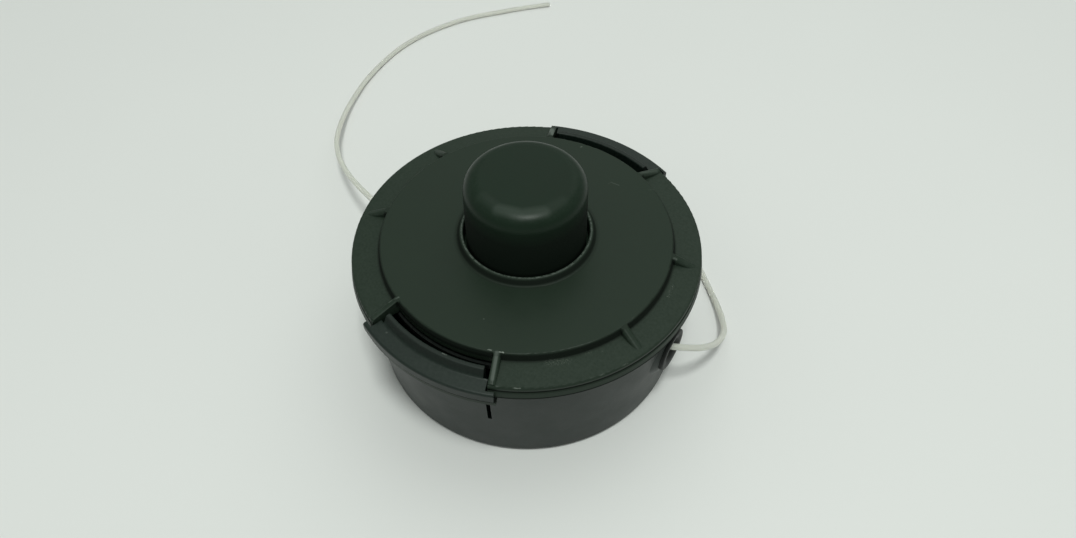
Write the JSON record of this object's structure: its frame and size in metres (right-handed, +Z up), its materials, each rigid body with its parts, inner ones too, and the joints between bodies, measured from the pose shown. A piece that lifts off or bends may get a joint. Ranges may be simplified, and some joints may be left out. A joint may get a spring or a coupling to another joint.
{
  "type": "bump feed trimmer head",
  "caption": "Bump feed trimmer head: snap-together plastic housing with sprung line spool, bump knob, drive nut and nylon cutting line led out through eyelets.",
  "frame": {"origin": "on the head's axis, in the plane of the base ring that it stands on", "axes": "+Z up along the drive axis towards the bump knob, +X out through the right line outlet, latches on the Y axis"},
  "size_m": [0.2053, 0.2279, 0.0679],
  "materials": {
    "housing_plastic": "satin black moulded nylon",
    "cover_plastic": "satin black moulded nylon, scuffed edges",
    "knob_plastic": "satin black moulded nylon, worn top edge",
    "spool_plastic": "plain black moulded nylon",
    "nylon_line": "translucent off-white nylon",
    "eyelet_metal": "black anodised",
    "steel": "zinc plated"
  },
  "bodies": {
    "housing": {"housing": "housing_plastic", "cover": "cover_plastic", "drive_nut": "steel", "eyelet_right": "eyelet_metal", "eyelet_left": "eyelet_metal", "return_spring": "steel", "line_right": "nylon_line", "line_left": "nylon_line"},
    "spring_seat": {"thrust_washer": "steel"},
    "spool": {"spool": "spool_plastic", "bump_knob": "knob_plastic", "winding_lower": "nylon_line", "winding_upper": "nylon_line"}
  },
  "joints": [
    {"name": "bump", "type": "slide", "parent": "housing", "child": "spring_seat", "axis": [0, 0, -1], "range_m": [0, 0.005], "stiffness_N_per_m": 2000, "springref_m": -0.006, "deforming": ["return_spring"]},
    {"name": "feed", "type": "hinge", "parent": "spring_seat", "child": "spool", "pos_m": [0, 0, 0.0265], "axis": [0, 0, 1], "range_deg": [-27, 0]}
  ]
}
